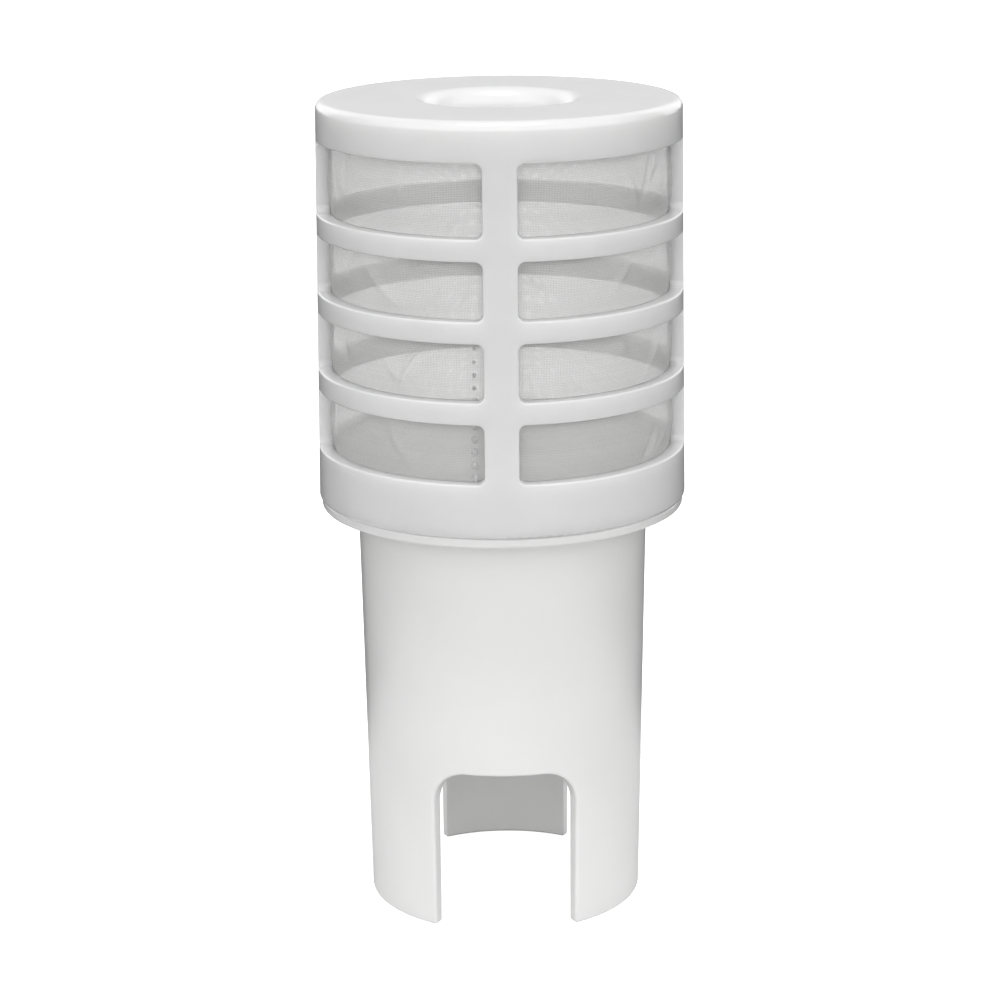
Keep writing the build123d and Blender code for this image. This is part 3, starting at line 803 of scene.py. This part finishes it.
def make_spring(settings):
    """A wound wire with a nearly flat start and finish, closed at both ends."""
    wire_r = settings.wire / 2
    coil_r = SPRING_HIGH.x - wire_r
    low = SPRING_LOW.z + wire_r
    rise = SPRING_HIGH.z - SPRING_LOW.z - settings.wire
    steps_per_turn = 64
    flat_rise = settings.flat_rise * rise
    middle_turns = settings.turns - 2 * settings.flat_turn
    bm = bmesh.new()
    stand = Matrix.Translation((coil_r, 0, low)) @ Matrix.Rotation(pi / 2, 4, "X")
    bmesh.ops.create_circle(bm, cap_ends=True, segments=14, radius=wire_r, matrix=stand)
    geometry = list(bm.faces)
    flat_end = (settings.flat_turn, flat_rise)
    for turns, climb in (flat_end, (middle_turns, rise - 2 * flat_rise), flat_end):
        steps = max(4, round(turns * steps_per_turn))
        spun = bmesh.ops.spin(
            bm, geom=geometry, cent=(0, 0, 0), axis=(0, 0, 1), dvec=(0, 0, climb / steps),
            angle=TURN * turns, steps=steps, use_duplicate=False)
        geometry = [item for item in spun["geom_last"] if isinstance(item, bmesh.types.BMFace)]
    return bm


class OBJECT_OT_foot_valve_spring(bpy.types.Operator):
    """Wind the return spring"""

    bl_idname = "object.foot_valve_spring"
    bl_label = "Return spring"

    def execute(self, context):
        bm = make_spring(context.scene.foot_valve_spring)
        piece = finish_piece("wound_spring", bm, bpy.data.materials["steel_wire"], "body")
        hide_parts("return_spring")
        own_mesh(piece)
        return {"FINISHED"}


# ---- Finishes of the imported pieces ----

class OBJECT_OT_foot_valve_materials(bpy.types.Operator):
    """Build the shared effects and the materials"""

    bl_idname = "object.foot_valve_materials"
    bl_label = "Materials"

    def execute(self, context):
        finish = context.scene.foot_valve_finish
        sleeve = context.scene.foot_valve_sleeve
        make_moulded_skin()
        make_drag_lines()
        make_turned_rings()
        make_specks()
        make_weave()
        make_white_plastic(finish.white_plastic)
        make_natural_plastic(finish.natural_plastic)
        make_nylon_weave(finish.nylon, sleeve)
        make_acetal(finish.acetal)
        make_rubber(finish.rubber)
        make_steel("steel_sheet", finish.steel, 0.12 * MM, 0.24)
        make_steel("steel_wire", finish.steel, 0.3 * MM, 0.18)
        return {"FINISHED"}


class OBJECT_OT_foot_valve_mouldings(bpy.types.Operator):
    """Finish the white mouldings, the basket and the poppet"""

    bl_idname = "object.foot_valve_mouldings"
    bl_label = "Mouldings"

    def execute(self, context):
        dress("white_plastic", "valve_body", "guide_spider", "seat_insert")
        dress("natural_plastic", "strainer_basket")
        dress("acetal", "poppet", "stem_bush")
        return {"FINISHED"}


class OBJECT_OT_foot_valve_seals(bpy.types.Operator):
    """Finish the rubber seals"""

    bl_idname = "object.foot_valve_seals"
    bl_label = "Seals"

    def execute(self, context):
        dress("seal_rubber", "pipe_gasket", "basket_o_ring", "seat_o_ring", "poppet_seal")
        return {"FINISHED"}


class OBJECT_OT_foot_valve_steel(bpy.types.Operator):
    """Finish the stainless pieces"""

    bl_idname = "object.foot_valve_steel"
    bl_label = "Stainless pieces"

    def execute(self, context):
        dress("steel_sheet", "seat_ring", "retaining_ring", "spring_washer_plate", "seal_retainer",
              "lock_washer", "seal_screw")
        return {"FINISHED"}


# ---- Stage ----

# The tent's brightness round the horizon: the turn from the front, as a share of half a turn, and
# the level there.
TENT_LEVELS = (
    (0.0, 1.0), (0.42, 0.95), (0.51, 0.45), (0.58, 0.06), (0.68, 0.10), (0.75, 0.8), (0.89, 0.8),
    (0.95, 0.38), (1.0, 0.38))
TENT_TOP = 0.38          # its level overhead


def make_world(settings):
    """A white light tent: bright in front, dark at the sides, dimmer behind and above."""
    world = bpy.data.worlds.new("light_tent")
    bpy.context.scene.world = world
    world.use_nodes = True
    tree = world.node_tree
    tree.nodes.clear()
    out = tree.nodes.new("ShaderNodeOutputWorld")
    way = add_node(tree, "ShaderNodeTexCoord").outputs["Generated"]
    parts = add_node(tree, "ShaderNodeSeparateXYZ", {0: way})
    front = math_node(tree, "MULTIPLY", parts.outputs[1], -1.0)
    side = math_node(tree, "ABSOLUTE", parts.outputs[0])
    turn = math_node(tree, "DIVIDE", math_node(tree, "ARCTAN2", side, front), pi)
    ramp = add_node(tree, "ShaderNodeValToRGB", {"Fac": turn})
    elements = ramp.color_ramp.elements
    while len(elements) < len(TENT_LEVELS):
        elements.new(0.5)
    for element, (place, level) in zip(elements, TENT_LEVELS):
        element.position = place
        element.color = (level, level, level, 1.0)
    above = map_range(tree, parts.outputs[2], 0.35, 0.85, smooth=True)
    tent = mix_colours(tree, above, ramp.outputs[0], (TENT_TOP, TENT_TOP, TENT_TOP, 1.0))
    lit = vector_scaled(tree, tent, settings.tent)
    seen = add_node(tree, "ShaderNodeLightPath").outputs["Is Camera Ray"]
    colour = mix_colours(tree, seen, lit, (1.0, 1.0, 1.0, 1.0))
    background = add_node(tree, "ShaderNodeBackground", {"Color": colour})
    tree.links.new(background.outputs[0], out.inputs["Surface"])


def make_stage_floor(settings):
    """A wide pale floor under the feet."""
    bm = bmesh.new()
    bmesh.ops.create_grid(bm, x_segments=4, y_segments=4, size=6.0)
    mesh = bpy.data.meshes.new("studio_floor")
    bm.to_mesh(mesh)
    bm.free()
    mesh.materials.append(make_floor(settings))
    floor_piece = bpy.data.objects.new("studio_floor", mesh)
    bpy.context.scene.collection.objects.link(floor_piece)
    floor_piece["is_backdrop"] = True


def make_camera(settings):
    """The camera, in front of the valve and looking down on its middle."""
    low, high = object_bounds()
    aim = Vector((0.0, 0.0, (low[2] + high[2]) / 2 + settings.aim_rise))
    away = Vector((0.0, -cos(settings.elevation), sin(settings.elevation)))
    data = bpy.data.cameras.new("camera")
    data.lens = settings.lens
    data.sensor_width = 36.0
    data.shift_x = settings.shift
    data.clip_start = 0.01
    camera = bpy.data.objects.new("camera", data)
    turn = Matrix.Rotation(pi / 2 - settings.elevation, 4, "X") @ Matrix.Rotation(settings.roll, 4, "Z")
    camera.matrix_world = Matrix.Translation(aim + away * settings.distance) @ turn
    bpy.context.scene.collection.objects.link(camera)
    bpy.context.scene.camera = camera


def add_softbox(name, place, aim, size, power):
    """A soft area light that faces the valve."""
    data = bpy.data.lights.new(name, "AREA")
    data.shape = "RECTANGLE"
    data.size, data.size_y = size
    data.energy = power
    lamp = bpy.data.objects.new(name, data)
    lamp.location = place
    lamp.rotation_euler = (Vector(aim) - Vector(place)).to_track_quat("-Z", "Y").to_euler()
    bpy.context.scene.collection.objects.link(lamp)


class OBJECT_OT_foot_valve_stage(bpy.types.Operator):
    """Set up the floor, the light and the camera"""

    bl_idname = "object.foot_valve_stage"
    bl_label = "Stage"

    def execute(self, context):
        settings = context.scene.foot_valve_studio
        context.scene.view_settings.view_transform = "Standard"
        context.scene.view_settings.look = "None"
        make_stage_floor(settings)
        make_world(settings)
        make_camera(settings)
        add_softbox("top_softbox", (0.0, -0.12, 0.55), (0, 0, 0.08), (0.25, 0.18), 0.5)
        return {"FINISHED"}


# ---- Panel and registration ----

PIECES = (
    OBJECT_OT_foot_valve_materials,
    OBJECT_OT_foot_valve_stage,
    OBJECT_OT_foot_valve_mouldings,
    OBJECT_OT_foot_valve_seals,
    OBJECT_OT_foot_valve_steel,
    OBJECT_OT_foot_valve_sleeve,
    OBJECT_OT_foot_valve_seam,
    OBJECT_OT_foot_valve_spring,
)

SETTINGS = {
    "foot_valve_sleeve": SleeveSettings,
    "foot_valve_seam": SeamSettings,
    "foot_valve_spring": SpringSettings,
    "foot_valve_finish": FinishSettings,
    "foot_valve_studio": StudioSettings,
}


class VIEW3D_PT_foot_valve(bpy.types.Panel):
    """The steps that make the foot valve, and their sizes"""

    bl_idname = "VIEW3D_PT_foot_valve"
    bl_label = "Foot valve"
    bl_space_type = "VIEW_3D"
    bl_region_type = "UI"
    bl_category = "Foot valve"

    def draw(self, context):
        for operator in PIECES:
            self.layout.operator(operator.bl_idname)
        for name, group in SETTINGS.items():
            box = self.layout.box()
            for value in group.__annotations__:
                box.prop(getattr(context.scene, name), value)


def register():
    for group in SETTINGS.values():
        bpy.utils.register_class(group)
    for operator in PIECES:
        bpy.utils.register_class(operator)
    bpy.utils.register_class(VIEW3D_PT_foot_valve)
    for name, group in SETTINGS.items():
        setattr(bpy.types.Scene, name, PointerProperty(type=group))


def unregister():
    for name in SETTINGS:
        delattr(bpy.types.Scene, name)
    bpy.utils.unregister_class(VIEW3D_PT_foot_valve)
    for operator in reversed(PIECES):
        bpy.utils.unregister_class(operator)
    for group in SETTINGS.values():
        bpy.utils.unregister_class(group)


def main():
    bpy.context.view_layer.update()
    register()
    for operator in PIECES:
        group, name = operator.bl_idname.split(".")
        getattr(getattr(bpy.ops, group), name)()


if __name__ == "__main__":
    main()
